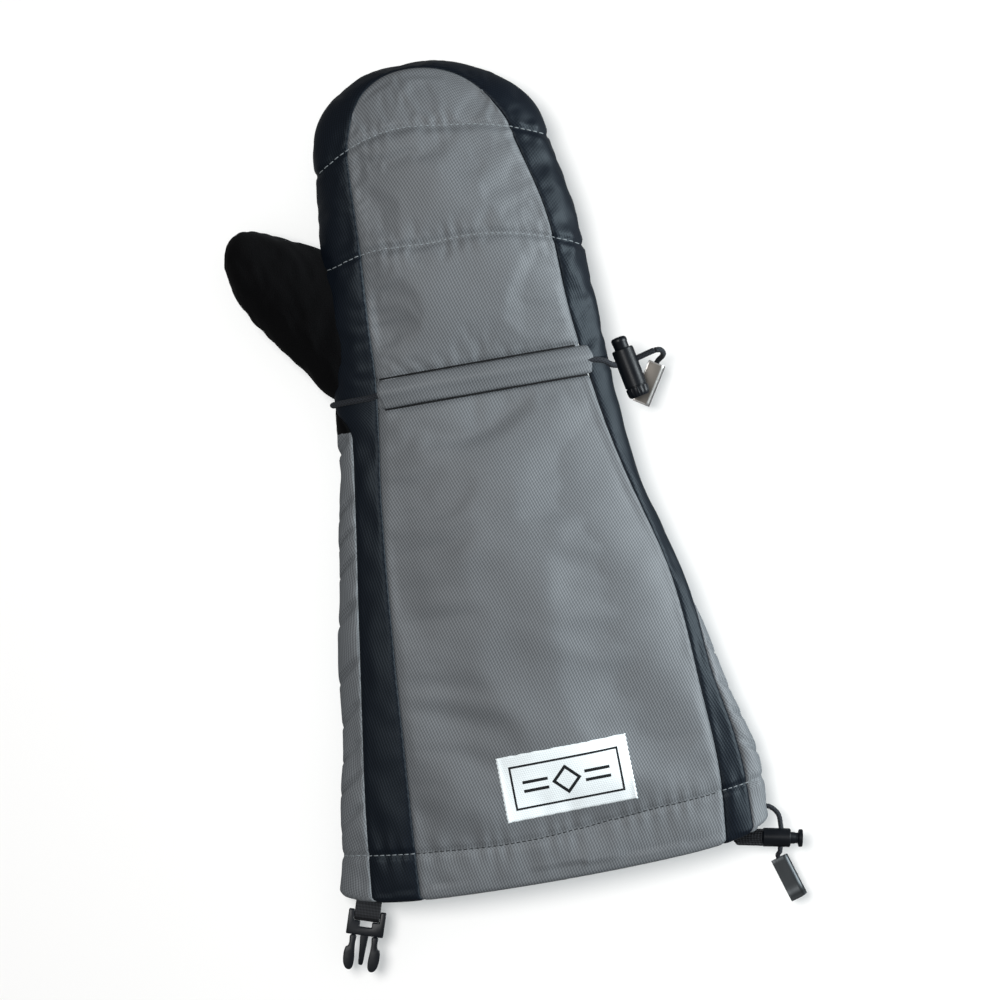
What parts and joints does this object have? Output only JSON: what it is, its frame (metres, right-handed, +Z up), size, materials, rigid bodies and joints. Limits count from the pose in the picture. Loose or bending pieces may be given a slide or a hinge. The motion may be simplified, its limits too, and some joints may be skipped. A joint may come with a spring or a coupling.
{
  "type": "ski mitten",
  "caption": "Insulated right-hand ski mitten with a long flared gauntlet, cinch cords with barrel locks at wrist and hem, and a side-release plug on the hem.",
  "frame": {"origin": "centre of the palm's flat resting face, with the mitten lying palm down", "axes": "+Y to the fingertips, -X to the thumb side, +Z up through the back of the hand"},
  "size_m": [0.2056, 0.3809, 0.0429],
  "materials": {
    "grey_twill": "matte grey twill weave",
    "dark_twill": "near-black navy twill with a faint sheen",
    "suede": "black napped suede",
    "insulation": "white needled wadding",
    "membrane": "thin waterproof film",
    "fleece": "dark fleece",
    "lining": "dark taffeta",
    "label": "woven white",
    "cord": "braided elastic",
    "black_plastic": "satin moulded",
    "spring_steel": "drawn wire",
    "nickel": "satin nickel plate",
    "webbing": "ribbed black webbing"
  },
  "bodies": {
    "gauntlet": {"gauntlet_back_panel": "grey_twill", "gauntlet_strip_thumb_side": "dark_twill", "gauntlet_strip_outer_side": "dark_twill", "gauntlet_palm_panel": "grey_twill", "gauntlet_fill": "insulation", "gauntlet_lining": "lining", "hem_facing": "grey_twill", "wrist_casing": "grey_twill", "label": "label", "wrist_cord": "cord", "hem_cord": "cord", "hem_lock_barrel": "black_plastic", "hem_lock_spring": "spring_steel", "hem_lock_tab": "webbing", "plug_webbing": "webbing"},
    "hand": {"hand_back_panel": "grey_twill", "hand_side_strip": "dark_twill", "palm_panel": "suede", "hand_fill_back": "insulation", "hand_fill_palm": "insulation", "hand_insert": "membrane", "hand_liner": "fleece"},
    "thumb": {"thumb_back_panel": "suede", "thumb_palm_panel": "suede", "thumb_fill": "insulation", "thumb_liner": "fleece"},
    "wrist_lock": {"wrist_lock_barrel": "black_plastic", "wrist_lock_spring": "spring_steel"},
    "wrist_button": {"wrist_lock_button": "black_plastic"},
    "wrist_clip": {"wrist_cord_tail": "cord", "wrist_cord_clip": "nickel"},
    "hem_button": {"hem_lock_button": "black_plastic"},
    "hem_clip": {"hem_cord_tail": "cord", "hem_cord_clip": "nickel"},
    "plug": {"plug_body": "black_plastic"},
    "prong_left": {"plug_prong_left": "black_plastic"},
    "prong_right": {"plug_prong_right": "black_plastic"}
  },
  "joints": [
    {"name": "wrist_flex", "type": "hinge", "parent": "gauntlet", "child": "hand", "pos_m": [0, -0.041, 0.019], "axis": [1, 0, 0], "range_deg": [-25, 25]},
    {"name": "thumb_swing", "type": "hinge", "parent": "hand", "child": "thumb", "pos_m": [-0.0583, -0.017, 0.017], "axis": [0.115, 0.9934, 0], "range_deg": [-20, 20]},
    {"name": "wrist_lock_slide", "type": "slide", "parent": "gauntlet", "child": "wrist_lock", "axis": [0.9816, 0.1908, 0], "range_m": [0, 0.006]},
    {"name": "wrist_button_press", "type": "slide", "parent": "wrist_lock", "child": "wrist_button", "axis": [0.1908, -0.9816, 0], "range_m": [0, 0.003], "stiffness_N_per_m": 900, "springref_m": -0.002, "deforming": ["wrist_lock_spring"]},
    {"name": "wrist_clip_swing", "type": "hinge", "parent": "gauntlet", "child": "wrist_clip", "pos_m": [0.07906, -0.05764, 0.024], "axis": [0, 0, 1], "range_deg": [-5, 60]},
    {"name": "hem_button_press", "type": "slide", "parent": "gauntlet", "child": "hem_button", "axis": [-0.9799, 0.1994, 0], "range_m": [0, 0.003], "stiffness_N_per_m": 900, "springref_m": -0.002, "deforming": ["hem_lock_spring"]},
    {"name": "hem_clip_swing", "type": "hinge", "parent": "gauntlet", "child": "hem_clip", "pos_m": [0.09502, -0.27758, 0.0116], "axis": [0, 0, 1], "range_deg": [-35, 35]},
    {"name": "plug_swing", "type": "hinge", "parent": "gauntlet", "child": "plug", "pos_m": [-0.0834, -0.2736, 0.0128], "axis": [0.9511, -0.309, 0], "range_deg": [-75, 75]},
    {"name": "prong_left_flex", "type": "hinge", "parent": "plug", "child": "prong_left", "pos_m": [-0.09062, -0.28093, 0.0128], "axis": [0, 0, 1], "range_deg": [0, 6], "stiffness_Nm_per_rad": 1.5},
    {"name": "prong_right_flex", "type": "hinge", "parent": "plug", "child": "prong_right", "pos_m": [-0.08187, -0.28377, 0.0128], "axis": [0, 0, 1], "range_deg": [-6, 0]}
  ],
  "couplings": [
    {"joint": "prong_right_flex", "follows": "prong_left_flex", "ratio": -1}
  ]
}
